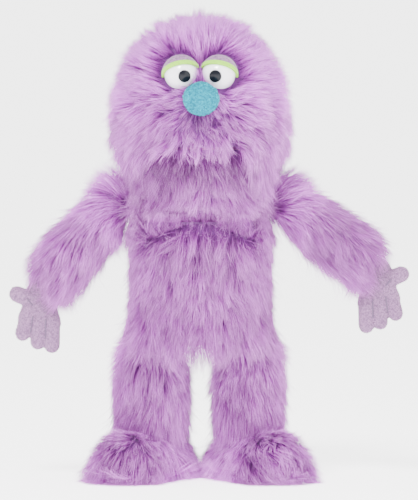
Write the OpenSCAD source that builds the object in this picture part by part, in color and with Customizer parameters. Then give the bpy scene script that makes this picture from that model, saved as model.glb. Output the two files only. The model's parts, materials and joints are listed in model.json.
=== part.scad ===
/* Furry glove puppet with a moving mouth.
   +Z is up, the face looks along -Y, and the puppet's own left is +X.
   Every module draws its piece with the middle of the body at x = 0 and the head's
   axis at y = 0. place() then moves the piece so that the origin is on the floor,
   under the middle of the outer box. */

/* [Head] */
// Height of the top of the head above the floor
head_top = 350; // [344:1:356]
// Largest radius of the head
head_r = 62; // [60:0.5:64]
// Height at which the head is widest
head_wide_z = 270; // [266:1:274]
// Height of the head cover's lower edge
head_low_z = 230; // [229:0.5:232]
// Radius of an eye's dome
eye_r = 12.6; // [11:0.1:13]
// Distance of an eye's centre from the middle
eye_x = 14; // [13.6:0.1:16]
// Height of the eyes' centres
eye_z = 307; // [304:1:312]
// Radius of the nose
nose_r = 13; // [10:0.5:14]
// Height of the nose
nose_z = 289; // [287:1:293]

/* [Mouth] */
// Height of the mouth's hinge line
mouth_z = 252; // [250:1:254]
// Distance of the mouth's hinge line behind the head's axis
hinge_y = 14; // [12:1:16]
// Half the width of the lower jaw
jaw_half_w = 35; // [31:0.5:36]
// Height of the chin
chin_z = 217; // [216:1:222]

/* [Torso] */
// Radius of the torso at its waist
torso_r = 51; // [50:0.5:52]
// Distance of the torso's axis behind the head's axis
torso_y = 12; // [11:0.5:13]
// Height of the torso's lower edge
torso_low_z = 116; // [114:1:118]
// Height of the torso's upper edge at the shoulders
torso_top_z = 203; // [200:1:204]
// Half the width of the hand opening in the back
opening_half_w = 31; // [26:1:32]
// Height of the hand opening's upper edge
opening_top_z = 176; // [165:1:180]

/* [Neck] */
// Radius of the neck's rounded band, which the head rolls on
neck_r = 43.5; // [42:0.1:43.8]
// Height of the point that the head nods about
nod_z = 222; // [221:0.5:223]

/* [Arms] */
// Angle of the puppet's left arm below level
arm_drop_left = 36; // [25:1:50]
// Angle of the puppet's right arm below level
arm_drop_right = 49; // [25:1:50]
// Distance from the shoulder to the wrist
arm_len = 90; // [84:1:94]
// Distance of a shoulder from the middle
shoulder_x = 62; // [61:0.5:64]
// Height of the shoulders
shoulder_z = 211; // [206:1:212]

/* [Legs] */
// Distance of a leg's axis from the middle
leg_x = 36.5; // [35:0.5:38]
// Largest radius of a leg
leg_r = 25.5; // [22:0.5:25.5]
// Height of the hips
hip_z = 86; // [84:0.5:87]
// Height of the ankles
ankle_z = 42; // [41:0.5:43]
// Angle by which the feet point outwards
toe_out = 32; // [28:1:34]

/* [Hidden] */
$fn = 64;

// the middle of the outer box, in the modules' own coordinates
box_mid_x = 6.884;
box_mid_y = -7.325;

pile_t = 7;            // thickness of the pile fabric, with its fibres laid flat
felt_t = 1.4;          // thickness of felt, fleece and lining fabric
gap = 0.3;             // gap between layers that aren't glued
neck_y = 3;            // the neck's axis, behind the head's
padding_t = 8;         // thickness of the foam in the head
board_t = 2;           // thickness of the two mouth boards
step_z = 6;            // height of one band in a turned outline
eye_y = -47;           // the eyes' centres, before the head's axis
nose_y = -68;          // the nose's centre, before the head's axis
wide = 200;            // larger than any piece
foot_r = 27;           // radius of a foot's roll
heel_x = -8;           // centre of the heel's round end, from the ankle
toe_x = 30;            // centre of the toe's round end, from the ankle

lilac = "#bd96c3";
deep_lilac = "#a07aa8";
pale_lilac = "#c6acc8";
lime = "#b9da86";
aqua = "#83cdda";
mouth_red = "#a8324a";

module place() translate([-box_mid_x, -box_mid_y, 0]) children();

// the head's radius at a height
function head_at(z, inset = 0) = max(0.01, (z > head_wide_z
    ? (head_r - inset) * sqrt(max(0, 1 - pow((z - head_wide_z) / (head_top - inset - head_wide_z), 2)))
    : head_r - inset - 10 * pow((head_wide_z - z) / 53, 2)));

// a solid turned round Z from the head's outline, pushed in by inset
module head_form(inset, low = head_low_z) {
    top = head_top - inset;
    bands = ceil((head_wide_z - low) / step_z);
    side = [for (i = [0:bands]) let(z = low + (head_wide_z - low) * i / bands) [head_at(z, inset), z]];
    dome = [for (a = [10:10:80]) let(z = head_wide_z + (top - head_wide_z) * sin(a)) [head_at(z, inset), z]];
    rotate_extrude() polygon(concat([[0, low]], side, dome, [[0, top]]));
}

// the torso's radius at a height: a waist between the seat and the chest
function torso_at(z, inset = 0) = torso_r - inset + 2 * pow((155 - z) / 40, 2) - (z > 190 ? (z - 190) * 0.25 : 0);

module torso_form(inset, low = torso_low_z, high = torso_top_z) {
    bands = ceil((high - low) / 11);
    side = [for (i = [0:bands]) let(z = low + (high - low) * i / bands) [torso_at(z, inset), z]];
    translate([0, torso_y, 0]) rotate_extrude() polygon(concat([[0, low]], side, [[0, high]]));
}

// the room that the chin swings through, round the mouth's hinge line
module chin_swing(radius, side_room) {
    half_w = jaw_half_w + side_room;
    translate([-half_w, hinge_y, mouth_z]) rotate([0, 90, 0])
        cylinder(r = radius, h = 2 * half_w, $fn = 128);
}

module neckline() {
    intersection() {
        chin_swing(76.5, 5);
        translate([-wide, torso_y - wide, 170]) cube([2 * wide, wide, wide]);
    }
}

module shoulder_sockets() {
    for (side = [-1, 1])
        translate([side * shoulder_x, torso_y + 2, shoulder_z]) sphere(r = 16.4);
}

// the slot in the back, grown by grow
module back_slot(grow = 0) {
    low = torso_low_z + 2 - grow;
    half_w = opening_half_w + grow;
    arch_z = opening_top_z + grow - half_w;
    translate([0, torso_y + 15, arch_z]) rotate([-90, 0, 0]) cylinder(r = half_w, h = 60);
    translate([-half_w, torso_y + 15, low]) cube([2 * half_w, 60, arch_z - low]);
}

module torso_shell(inset, thickness) {
    difference() {
        torso_form(inset);
        torso_form(inset + thickness, low = torso_low_z - 1, high = torso_top_z + 1);
        neckline();
        shoulder_sockets();
    }
}

module torso_front_panel() {
    color(lilac) intersection() {
        torso_shell(0, pile_t);
        translate([-wide, torso_y - wide, 0]) cube([2 * wide, wide, wide * 2]);
    }
}

module torso_back_panel() {
    color(lilac) difference() {
        torso_shell(0, pile_t);
        translate([-wide, torso_y + 0.2 - wide, 0]) cube([2 * wide, wide, wide * 2]);
        back_slot(felt_t + 0.1);
    }
}

module torso_lining() {
    color(deep_lilac) difference() {
        torso_shell(pile_t + 0.2, 1.1);
        back_slot(felt_t + 0.1);
    }
}

// the floor of the body, between the legs and the hand's space
module seat_panel() {
    color(lilac) translate([0, torso_y, torso_low_z - 4.2]) cylinder(r = torso_at(torso_low_z), h = 4);
}

// bound edge of the hand opening
module hand_opening_hem() {
    color(deep_lilac) intersection() {
        difference() {
            back_slot(felt_t);
            back_slot(0);
        }
        difference() {
            torso_form(-1.5);
            torso_form(pile_t + 2.2, low = torso_low_z - 1, high = torso_top_z + 1);
        }
    }
}

// crescent of pile fabric across the shoulders, round the neck's hole
module shoulder_panel() {
    color(lilac) difference() {
        translate([0, torso_y, torso_top_z + 0.2]) cylinder(r = torso_at(torso_top_z), h = 5);
        translate([0, neck_y, torso_top_z]) cylinder(r = 39, h = 6);
        translate([-wide, -wide, 0]) cube([2 * wide, wide + 2, 2 * wide]);
        shoulder_sockets();
    }
}

// leaves out the front of the neck, where the jaw swings
module behind_jaw(y) {
    difference() {
        children();
        translate([-jaw_half_w - 2, -wide, 0]) cube([2 * jaw_half_w + 4, wide + y, 2 * wide]);
    }
}

// rounded band that turns with the head and rolls in the head's lower edge
module neck_cover() {
    low = torso_top_z + 5.5;
    color(deep_lilac) behind_jaw(4) translate([0, neck_y, nod_z]) intersection() {
        difference() {
            sphere(r = neck_r, $fn = 96);
            sphere(r = neck_r - 5, $fn = 96);
        }
        translate([-wide, -wide, low - nod_z]) cube([2 * wide, 2 * wide, 230.4 - low]);
    }
}

// lining of the way through the neck
module neck_lining() {
    low = torso_top_z - 3;
    color(deep_lilac) behind_jaw(4) translate([0, neck_y, low]) difference() {
        cylinder(r = 36, h = 230 - low);
        translate([0, 0, -1]) cylinder(r = 35, h = 40);
    }
}

// what is cut out of the head for the mouth and the jaw
module mouth_cut() {
    half_w = jaw_half_w + 1.5;
    translate([-half_w, -wide, 0]) cube([2 * half_w, wide + hinge_y + 2, mouth_z + 2.2]);
}

module eye_recess() {
    for (side = [-1, 1]) {
        translate([side * eye_x, eye_y + 1, eye_z]) rotate([90, 0, 0]) cylinder(r = eye_r + 2.4, h = 40);
        translate([side * eye_x, -20, eye_z]) rotate([90, 0, 0]) cylinder(r = 2.7, h = 40);
    }
}

module nose_recess() translate([0, nose_y, nose_z]) sphere(r = nose_r + 0.2);

module head_shell(inset, thickness) {
    difference() {
        head_form(inset);
        head_form(inset + thickness, low = head_low_z - 1);
        mouth_cut();
        eye_recess();
    }
}

module face_panel() {
    color(lilac) difference() {
        head_shell(0, pile_t);
        translate([-wide, 0, 0]) cube([2 * wide, wide, 2 * wide]);
        nose_recess();
    }
}

module head_back_panel() {
    color(lilac) intersection() {
        head_shell(0, pile_t);
        translate([-wide, 0.2, 0]) cube([2 * wide, wide, 2 * wide]);
    }
}

// foam above the mouth, between the cover and the hand's space
module head_padding() {
    half_w = jaw_half_w + 1.5;
    color("#e8e2cf") difference() {
        head_shell(pile_t + gap, padding_t);
        translate([-wide, -wide, 0]) cube([2 * wide, 2 * wide, mouth_z - 5]);
        translate([-half_w, -wide, 0]) cube([2 * half_w, wide + hinge_y + 2, mouth_z + 4.9]);
        for (side = [-1, 1])
            at_eye(side) translate([0, 17, 0]) rotate([-90, 0, 0]) cylinder(r = 7.4, h = 20);
    }
}

module at_eye(side) translate([side * eye_x, eye_y, eye_z]) children();

// white dome with its post, which goes through the face and the foam
module eye(side) {
    color("white") at_eye(side) {
        intersection() {
            sphere(r = eye_r);
            translate([-wide, -wide, -wide]) cube([2 * wide, wide + 0.8, 2 * wide]);
        }
        rotate([-90, 0, 0]) cylinder(r = 2.5, h = 19);
    }
}

// black disc let into the dome
module pupil(side) {
    color("#16181d") translate([side * (eye_x - 2.6), 0, 0]) intersection() {
        at_pupil_z() rotate([90, 0, 0]) cylinder(r = 4.6, h = 80);
        translate([side * 2.6, eye_y, eye_z]) difference() {
            sphere(r = eye_r + 1);
            sphere(r = eye_r + 0.05);
        }
        translate([-wide, -wide, 0]) cube([2 * wide, wide + eye_y - 3, 2 * wide]);
    }
}

module at_pupil_z() translate([0, 0, eye_z - 1.5]) children();

// push-on washer behind the foam that holds the eye's post
module eye_washer(side) {
    color("#d8d8d8") at_eye(side) translate([0, 17.2, 0]) rotate([-90, 0, 0]) difference() {
        cylinder(r = 7, h = 1.6);
        translate([0, 0, -1]) cylinder(r = 2.6, h = 4);
    }
}

// the shell that both the lid and its trim are cut from, between two tilted planes
module lid_band(side, inner, outer, from, to) {
    intersection() {
        at_eye(side) intersection() {
            difference() {
                sphere(r = outer);
                sphere(r = inner);
            }
            rotate([-32, side * 10, 0]) translate([-wide, -wide, from]) cube([2 * wide, 2 * wide, to - from]);
            translate([-wide, -wide, -wide]) cube([2 * wide, wide + 0.6, 2 * wide]);
        }
        translate([side > 0 ? 0.1 : -wide, -wide, 0]) cube([wide - 0.1, wide, 2 * wide]);
    }
}

module eyelid(side) {
    color(pale_lilac) lid_band(side, eye_r + 0.1, eye_r + 1.6, 2.3, wide);
}

module lid_trim(side) {
    color(lime) lid_band(side, eye_r + 0.1, eye_r + 2.1, 0, 2.2);
}

module nose_cover() {
    color(aqua) translate([0, nose_y, nose_z]) difference() {
        sphere(r = nose_r);
        sphere(r = nose_r - felt_t);
    }
}

module nose_filling() {
    color("white") translate([0, nose_y, nose_z]) sphere(r = nose_r - felt_t - 0.1);
}

// flat plate of the mouth, from the lips back to the hinge
module mouth_plate(low, thickness, margin) {
    back = hinge_y - margin;
    intersection() {
        translate([0, 0, low]) cylinder(r = head_at(mouth_z) - pile_t - 1 - margin, h = thickness);
        translate([-jaw_half_w + 1 + margin, -wide, 0])
            cube([2 * (jaw_half_w - 1 - margin), wide + back, 2 * wide]);
    }
}

module palate_board() color("#6b5a48") mouth_plate(mouth_z + 2.6, board_t, 0);

module palate_lining() color(mouth_red) mouth_plate(mouth_z + 1.1, felt_t, 1);

module jaw_board() color("#6b5a48") mouth_plate(mouth_z - 5, board_t, 0);

module jaw_lining() color(mouth_red) mouth_plate(mouth_z - 2.9, felt_t, 1);

module tongue() {
    color("#e08a9c") translate([0, 0, mouth_z - 1.4]) linear_extrude(1.6) hull() {
        translate([0, -28]) circle(r = 13);
        translate([0, -4]) circle(r = 15);
    }
}

// strap of lining fabric arched over the fingers, open at the back
module pocket_arch(half_w, height, low, front, back) {
    translate([0, back, low]) rotate([90, 0, 0]) linear_extrude(back - front)
        difference() {
            pocket_outline(half_w, height);
            translate([0, -0.01]) pocket_outline(half_w - felt_t, height - felt_t);
        }
}

module pocket_outline(half_w, height) {
    corner = height * 0.6;
    intersection() {
        hull() for (x = [-1, 1]) {
            translate([x * (half_w - corner), height - corner]) circle(r = corner);
            translate([x * (half_w - 0.5) - 0.5, 0]) square([1, 0.5]);
        }
        translate([-wide, 0]) square([2 * wide, wide]);
    }
}

module finger_pocket() {
    color(deep_lilac) pocket_arch(31, 22, mouth_z + 4.9, -32, 6);
}

module thumb_pocket() {
    color(deep_lilac) translate([0, 0, 2 * mouth_z - 10.2]) mirror([0, 0, 1])
        pocket_arch(13, 14, mouth_z - 5, -30, -3);
}

// the jaw's outline: the front of the head between the mouth and the chin
module jaw_shell(inset, thickness) {
    intersection() {
        difference() {
            head_form(inset, low = chin_z);
            head_form(inset + thickness, low = chin_z - 1);
        }
        translate([-jaw_half_w, -wide, 0]) cube([2 * jaw_half_w, wide - 20, mouth_z - 1.6]);
        union() {
            chin_swing(71, 2);
            translate([-wide, -wide, 240]) cube([2 * wide, wide, wide]);
        }
    }
}

module jaw_panel() color(lilac) jaw_shell(0, pile_t);

module jaw_padding() {
    color("#e8e2cf") intersection() {
        jaw_shell(pile_t + gap, padding_t - 2);
        translate([-wide, -wide, 234]) cube([2 * wide, wide - 22, mouth_z - 5.2 - 234]);
    }
}

// puts a shape drawn along +X onto the arm of that side
module on_arm(side) {
    drop = side > 0 ? arm_drop_left : arm_drop_right;
    translate([side * shoulder_x, torso_y + 2, shoulder_z])
        rotate([0, side > 0 ? drop : 180 - drop, 0]) children();
}

// outline of the arm: round shoulder, wider forearm, rounded cuff
function arm_outline(inset) = concat(
    [for (a = [165:-15:90]) [(16 - inset) * sin(a), (16 - inset) * cos(a)]],
    [[17 - inset, 8], [18.5 - inset, 24], [20 - inset, 46], [20 - inset, 64],
     [18.5 - inset, 72], [16 - inset, 76], [14 - inset, arm_len - 12]]);

module arm_form(inset) {
    rotate([0, 90, 0]) rotate_extrude()
        polygon(concat([[0, inset - 16]], arm_outline(inset), [[0, arm_len - 12]]));
}

// the cuff's open end, which the mitt's root sits in
module cuff_opening() {
    translate([arm_len, 0, 0]) sphere(r = 13);
    translate([arm_len - 12.5, 0, 0]) rotate([0, 90, 0]) cylinder(r = 12.6, h = 20);
}

module arm_cover(side) {
    color(lilac) on_arm(side) difference() {
        arm_form(0);
        arm_form(pile_t - 1);
        cuff_opening();
        translate([-20, 0, 0]) rotate([0, 90, 0]) cylinder(r = 6, h = 12);
    }
}

module arm_stuffing(side) {
    color("white") on_arm(side) difference() {
        arm_form(pile_t - 0.8);
        translate([arm_len - 16, -wide, -wide]) cube([wide, 2 * wide, 2 * wide]);
    }
}

// one finger or thumb, from its root to its tip
module finger(from, to, r1, r2) {
    hull() {
        translate(from) circle(r = r1);
        translate(to) circle(r = r2);
    }
}

// the mitt's outline, drawn hanging down along -Y with the thumb towards +X
module mitt_outline() {
    finger([0, 0], [0, -20], 9.5, 14.5);
    finger([-9.5, -24], [-9.5, -42], 6.2, 6);
    finger([0, -24], [1, -39.5], 6, 5.8);
    finger([9, -21], [12.5, -33], 6.2, 5.8);
    finger([6, -8], [17, -3.5], 6.4, 6);
}

module hand_layer(side, y_low, y_high) {
    drop = side > 0 ? arm_drop_left : arm_drop_right;
    color(pale_lilac)
        translate([side * (shoulder_x + arm_len * cos(drop)), torso_y + 2, shoulder_z - arm_len * sin(drop)])
            rotate([90, 0, 0]) translate([0, 0, -y_high]) linear_extrude(y_high - y_low)
                if (side > 0) mitt_outline(); else mirror([1, 0]) mitt_outline();
}

module leg_pose(side) translate([side * leg_x, torso_y - 3, 0]) children();

// a leg: a ball at the hip, a wide shin, and a smaller ball at the ankle
function leg_outline(inset) = concat(
    [for (a = [15:15:90]) [(leg_r - 1.5 - inset) * sin(a), hip_z + (leg_r - 1.5 - inset) * cos(a)]],
    [[leg_r - inset, hip_z - 8], [leg_r - inset, ankle_z + 20], [leg_r - 3.5 - inset, ankle_z + 12]],
    [for (a = [75:15:165]) [(17 - inset) * sin(a), ankle_z + (17 - inset) * cos(a)]]);

module leg_form(inset) {
    rotate_extrude() polygon(concat([[0, hip_z + leg_r - 1.5 - inset]], leg_outline(inset),
        [[0, ankle_z - 17 + inset]]));
}

// puts a shape drawn along +X from the ankle onto the foot of that side
module on_foot(side) {
    leg_pose(side) rotate([0, 0, side > 0 ? -90 + toe_out : -90 - toe_out]) children();
}

// the hollow on top of the foot, which the ankle sits in
module ankle_socket(side) leg_pose(side) translate([0, 0, ankle_z]) sphere(r = 17.5);

module leg_cover(side) {
    color(lilac) leg_pose(side) difference() {
        leg_form(0);
        leg_form(pile_t - 1);
        translate([0, 0, hip_z]) cylinder(r = 7, h = 30);
    }
}

module leg_stuffing(side) {
    color("white") leg_pose(side) leg_form(pile_t - 0.8);
}

// a foot: a rounded roll from heel to toe, cut flat underneath
module foot_form(inset, low) {
    r = foot_r - inset;
    intersection() {
        translate([0, 0, 12]) rotate([0, 90, 0]) rotate_extrude() polygon(concat(
            [[0, heel_x - r]],
            [for (a = [165:-15:90]) [r * sin(a), heel_x + r * cos(a)]],
            [for (a = [90:-15:15]) [r * sin(a), toe_x + r * cos(a)]],
            [[0, toe_x + r]]));
        translate([-wide, -wide, low]) cube([2 * wide, 2 * wide, wide]);
    }
}

module foot_cover(side) {
    color(lilac) difference() {
        on_foot(side) difference() {
            foot_form(0, 3.2);
            foot_form(pile_t - 1, 1);
        }
        ankle_socket(side);
    }
}

module foot_stuffing(side) {
    color("white") difference() {
        on_foot(side) foot_form(pile_t - 0.8, 3.4);
        ankle_socket(side);
    }
}

module foot_sole(side) {
    color(deep_lilac) on_foot(side) linear_extrude(3) hull() {
        translate([heel_x, 0]) circle(r = foot_r - 2.5);
        translate([toe_x, 0]) circle(r = foot_r - 2.5);
    }
}

place() torso_front_panel();
place() torso_back_panel();
place() torso_lining();
place() seat_panel();
place() hand_opening_hem();
place() shoulder_panel();
place() neck_cover();
place() neck_lining();
place() face_panel();
place() head_back_panel();
place() head_padding();
place() eye(1);  // eye_left
place() eye(-1);  // eye_right
place() pupil(1);  // pupil_left
place() pupil(-1);  // pupil_right
place() eye_washer(1);  // eye_washer_left
place() eye_washer(-1);  // eye_washer_right
place() eyelid(1);  // eyelid_left
place() eyelid(-1);  // eyelid_right
place() lid_trim(1);  // lid_trim_left
place() lid_trim(-1);  // lid_trim_right
place() nose_cover();
place() nose_filling();
place() palate_board();
place() palate_lining();
place() finger_pocket();
place() jaw_panel();
place() jaw_padding();
place() jaw_board();
place() jaw_lining();
place() tongue();
place() thumb_pocket();
place() arm_cover(1);  // arm_cover_left
place() arm_cover(-1);  // arm_cover_right
place() arm_stuffing(1);  // arm_stuffing_left
place() arm_stuffing(-1);  // arm_stuffing_right
place() hand_layer(1, 0.1, 3.6);  // hand_front_left
place() hand_layer(-1, 0.1, 3.6);  // hand_front_right
place() hand_layer(1, -3.6, -0.1);  // hand_back_left
place() hand_layer(-1, -3.6, -0.1);  // hand_back_right
place() leg_cover(1);  // leg_cover_left
place() leg_cover(-1);  // leg_cover_right
place() leg_stuffing(1);  // leg_stuffing_left
place() leg_stuffing(-1);  // leg_stuffing_right
place() foot_cover(1);  // foot_cover_left
place() foot_cover(-1);  // foot_cover_right
place() foot_stuffing(1);  // foot_stuffing_left
place() foot_stuffing(-1);  // foot_stuffing_right
place() foot_sole(1);  // foot_sole_left
place() foot_sole(-1);  // foot_sole_right
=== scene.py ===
import json
import math

import bmesh
import bpy
import numpy as np
from mathutils import Matrix, Vector, kdtree
from mathutils.bvhtree import BVHTree


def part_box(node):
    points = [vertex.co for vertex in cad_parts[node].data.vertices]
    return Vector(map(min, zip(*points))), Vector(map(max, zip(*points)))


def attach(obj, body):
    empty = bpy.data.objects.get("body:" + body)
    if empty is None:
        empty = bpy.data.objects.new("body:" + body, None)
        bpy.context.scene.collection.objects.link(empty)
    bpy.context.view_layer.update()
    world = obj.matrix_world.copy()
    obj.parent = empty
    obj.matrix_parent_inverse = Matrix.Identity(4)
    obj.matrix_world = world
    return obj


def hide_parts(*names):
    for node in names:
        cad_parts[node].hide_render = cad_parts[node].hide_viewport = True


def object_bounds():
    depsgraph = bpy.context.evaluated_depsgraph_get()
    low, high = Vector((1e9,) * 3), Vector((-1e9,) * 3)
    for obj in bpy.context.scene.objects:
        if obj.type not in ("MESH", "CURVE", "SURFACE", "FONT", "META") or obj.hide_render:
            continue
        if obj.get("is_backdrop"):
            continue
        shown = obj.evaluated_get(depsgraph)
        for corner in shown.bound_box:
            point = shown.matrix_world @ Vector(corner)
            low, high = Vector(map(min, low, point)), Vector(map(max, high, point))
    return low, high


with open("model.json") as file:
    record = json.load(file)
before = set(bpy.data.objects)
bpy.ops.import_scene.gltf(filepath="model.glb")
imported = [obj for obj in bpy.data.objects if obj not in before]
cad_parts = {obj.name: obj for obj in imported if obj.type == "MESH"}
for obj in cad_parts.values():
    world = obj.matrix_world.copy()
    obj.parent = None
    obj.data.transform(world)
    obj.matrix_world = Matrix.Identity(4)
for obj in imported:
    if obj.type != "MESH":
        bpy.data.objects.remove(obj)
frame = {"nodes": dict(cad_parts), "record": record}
cadLow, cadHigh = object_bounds()
rng = np.random.default_rng(11)
mm = 0.001
squareCm = 1e-4
joints = {j["name"]: j for j in frame["record"]["behaviour"]["joints"]}


def jointPos(name):
    return np.array(joints[name]["pos_m"], float)


def boxOf(node):
    low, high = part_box(node)
    return np.array(low), np.array(high)


def clamp01(v):
    return np.clip(v, 0.0, 1.0)


def smoothstep(a, b, v):
    t = clamp01((v - a) / (b - a))
    return t * t * (3 - 2 * t)


def unit(v):
    return v / np.maximum(np.linalg.norm(v, axis=-1, keepdims=True), 1e-9)


def newGroup(name, inputs, outputs):
    g = bpy.data.node_groups.new(name, "ShaderNodeTree")
    for label, kind, value in inputs:
        s = g.interface.new_socket(label, in_out="INPUT", socket_type=kind)
        if value is not None:
            s.default_value = value
    for label, kind in outputs:
        g.interface.new_socket(label, in_out="OUTPUT", socket_type=kind)
    return g, g.nodes.new("NodeGroupInput"), g.nodes.new("NodeGroupOutput")


def mathNode(tree, operation, a, b=None):
    n = tree.nodes.new("ShaderNodeMath")
    n.operation = operation
    for i, v in enumerate((a, b)):
        if v is None:
            continue
        if isinstance(v, (int, float)):
            n.inputs[i].default_value = v
        else:
            tree.links.new(v, n.inputs[i])
    return n.outputs[0]


def mixColour(tree, factor, a, b, blend="MIX"):
    n = tree.nodes.new("ShaderNodeMix")
    n.data_type = "RGBA"
    n.blend_type = blend
    for socket, v in ((n.inputs[0], factor), (n.inputs[6], a), (n.inputs[7], b)):
        if isinstance(v, (int, float)):
            socket.default_value = v
        elif isinstance(v, (tuple, list)):
            socket.default_value = v
        else:
            tree.links.new(v, socket)
    return n.outputs[2]


def noiseNode(tree, vector, scale, detail=3.0, roughness=0.5):
    n = tree.nodes.new("ShaderNodeTexNoise")
    n.inputs["Scale"].default_value = scale
    n.inputs["Detail"].default_value = detail
    n.inputs["Roughness"].default_value = roughness
    if vector is not None:
        tree.links.new(vector, n.inputs["Vector"])
    return n.outputs["Fac"]


def linear(r, g, b):
    f = [v / 12.92 if v <= 0.04045 else ((v + 0.055) / 1.055) ** 2.4 for v in (r / 255, g / 255, b / 255)]
    return (f[0], f[1], f[2], 1.0)


# colour of a fibre: V runs from root to tip, U is the lock's own tone; the darkening towards the root is
# painted shade deep in the pile
fibreTone, gi, go = newGroup(
    "fibreTone",
    [("Root", "NodeSocketColor", (0.2, 0.1, 0.2, 1)), ("Middle", "NodeSocketColor", (0.4, 0.2, 0.4, 1)),
     ("Tip", "NodeSocketColor", (0.6, 0.4, 0.6, 1)), ("Tone Spread", "NodeSocketFloat", 0.3)],
    [("Color", "NodeSocketColor"), ("Along", "NodeSocketFloat")])
uvNode = fibreTone.nodes.new("ShaderNodeUVMap")
uvNode.uv_map = "OFBake"
sep = fibreTone.nodes.new("ShaderNodeSeparateXYZ")
fibreTone.links.new(uvNode.outputs[0], sep.inputs[0])
toMiddle = mathNode(fibreTone, "MULTIPLY", sep.outputs[1], 2.2)
n = fibreTone.nodes.new("ShaderNodeClamp")
fibreTone.links.new(toMiddle, n.inputs[0])
lower = mixColour(fibreTone, n.outputs[0], gi.outputs["Root"], gi.outputs["Middle"])
upperT = mathNode(fibreTone, "SUBTRACT", sep.outputs[1], 0.4)
upperT = mathNode(fibreTone, "MULTIPLY", upperT, 1.7)
n = fibreTone.nodes.new("ShaderNodeClamp")
fibreTone.links.new(upperT, n.inputs[0])
whole = mixColour(fibreTone, n.outputs[0], lower, gi.outputs["Tip"])
shift = mathNode(fibreTone, "SUBTRACT", sep.outputs[0], 0.5)
shift = mathNode(fibreTone, "MULTIPLY", shift, gi.outputs["Tone Spread"])
shift = mathNode(fibreTone, "ADD", shift, 1.0)
hue = fibreTone.nodes.new("ShaderNodeHueSaturation")
fibreTone.links.new(whole, hue.inputs["Color"])
fibreTone.links.new(shift, hue.inputs["Value"])
fibreTone.links.new(hue.outputs[0], go.inputs["Color"])
fibreTone.links.new(sep.outputs[1], go.inputs["Along"])

# fuzzy cloth: curled nap over a knitted ground; the Dark colour goes where the Height is low, painted shade
# in the pits between the curls, with broad noise for random patchy tone
napCloth, gi, go = newGroup(
    "napCloth",
    [("Color", "NodeSocketColor", (0.6, 0.5, 0.6, 1)), ("Dark", "NodeSocketColor", (0.4, 0.3, 0.4, 1)),
     ("Grain", "NodeSocketFloat", 900.0), ("Contrast", "NodeSocketFloat", 0.6)],
    [("Color", "NodeSocketColor"), ("Height", "NodeSocketFloat")])
coord = napCloth.nodes.new("ShaderNodeTexCoord")
curl = napCloth.nodes.new("ShaderNodeTexNoise")
curl.inputs["Detail"].default_value = 3.0
curl.inputs["Roughness"].default_value = 0.65
curl.inputs["Distortion"].default_value = 0.6
napCloth.links.new(coord.outputs["Object"], curl.inputs["Vector"])
napCloth.links.new(gi.outputs["Grain"], curl.inputs["Scale"])
cell = napCloth.nodes.new("ShaderNodeTexVoronoi")
cell.feature = "SMOOTH_F1"
napCloth.links.new(coord.outputs["Object"], cell.inputs["Vector"])
napCloth.links.new(gi.outputs["Grain"], cell.inputs["Scale"])
both = mathNode(napCloth, "MULTIPLY", cell.outputs["Distance"], 0.7)
both = mathNode(napCloth, "ADD", both, curl.outputs["Fac"])
patch = noiseNode(napCloth, coord.outputs["Object"], 90.0, 2.0)
ramp = napCloth.nodes.new("ShaderNodeMapRange")
ramp.inputs["From Min"].default_value = 0.55
ramp.inputs["From Max"].default_value = 1.05
napCloth.links.new(both, ramp.inputs["Value"])
amount = mathNode(napCloth, "MULTIPLY", ramp.outputs[0], gi.outputs["Contrast"])
patchShift = mathNode(napCloth, "MULTIPLY", patch, 0.25)
amount = mathNode(napCloth, "ADD", amount, patchShift)
n = napCloth.nodes.new("ShaderNodeClamp")
napCloth.links.new(amount, n.inputs[0])
# painted shade: the Dark colour fills the nap's low pits
shaded = mixColour(napCloth, n.outputs[0], gi.outputs["Color"], gi.outputs["Dark"])
napCloth.links.new(shaded, go.inputs["Color"])
napCloth.links.new(mathNode(napCloth, "SUBTRACT", 1.0, both), go.inputs["Height"])


def principled(name, roughness=0.7, **sockets):
    m = bpy.data.materials.new(name)
    m.use_nodes = True
    p = m.node_tree.nodes["Principled BSDF"]
    p.inputs["Roughness"].default_value = roughness
    for key, value in sockets.items():
        p.inputs[key.replace("_", " ")].default_value = value
    return m, m.node_tree, p


def addGroup(tree, group, **values):
    n = tree.nodes.new("ShaderNodeGroup")
    n.node_tree = group
    for key, value in values.items():
        n.inputs[key.replace("_", " ")].default_value = value
    return n


def addBump(tree, p, height, strength, distance):
    b = tree.nodes.new("ShaderNodeBump")
    b.inputs["Strength"].default_value = strength
    b.inputs["Distance"].default_value = distance
    tree.links.new(height, b.inputs["Height"])
    tree.links.new(b.outputs[0], p.inputs["Normal"])


def fibreMaterial(name, root, middle, tip, spread, roughness=0.62):
    m, tree, p = principled(name, roughness)
    g = addGroup(tree, fibreTone, Root=root, Middle=middle, Tip=tip, Tone_Spread=spread)
    tree.links.new(g.outputs["Color"], p.inputs["Base Color"])
    p.inputs["Specular IOR Level"].default_value = 0.25
    return m


def clothMaterial(name, colour, dark, grain, contrast=0.6, bump=0.5, depth=0.0006, sheen=0.3):
    m, tree, p = principled(name, 0.9)
    g = addGroup(tree, napCloth, Color=colour, Dark=dark, Grain=grain, Contrast=contrast)
    tree.links.new(g.outputs["Color"], p.inputs["Base Color"])
    p.inputs["Sheen Weight"].default_value = sheen
    p.inputs["Specular IOR Level"].default_value = 0.15
    addBump(tree, p, g.outputs["Height"], bump, depth)
    return m


# fibre colours run root, middle, tip; the dark root is painted shade deep in the pile
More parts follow.
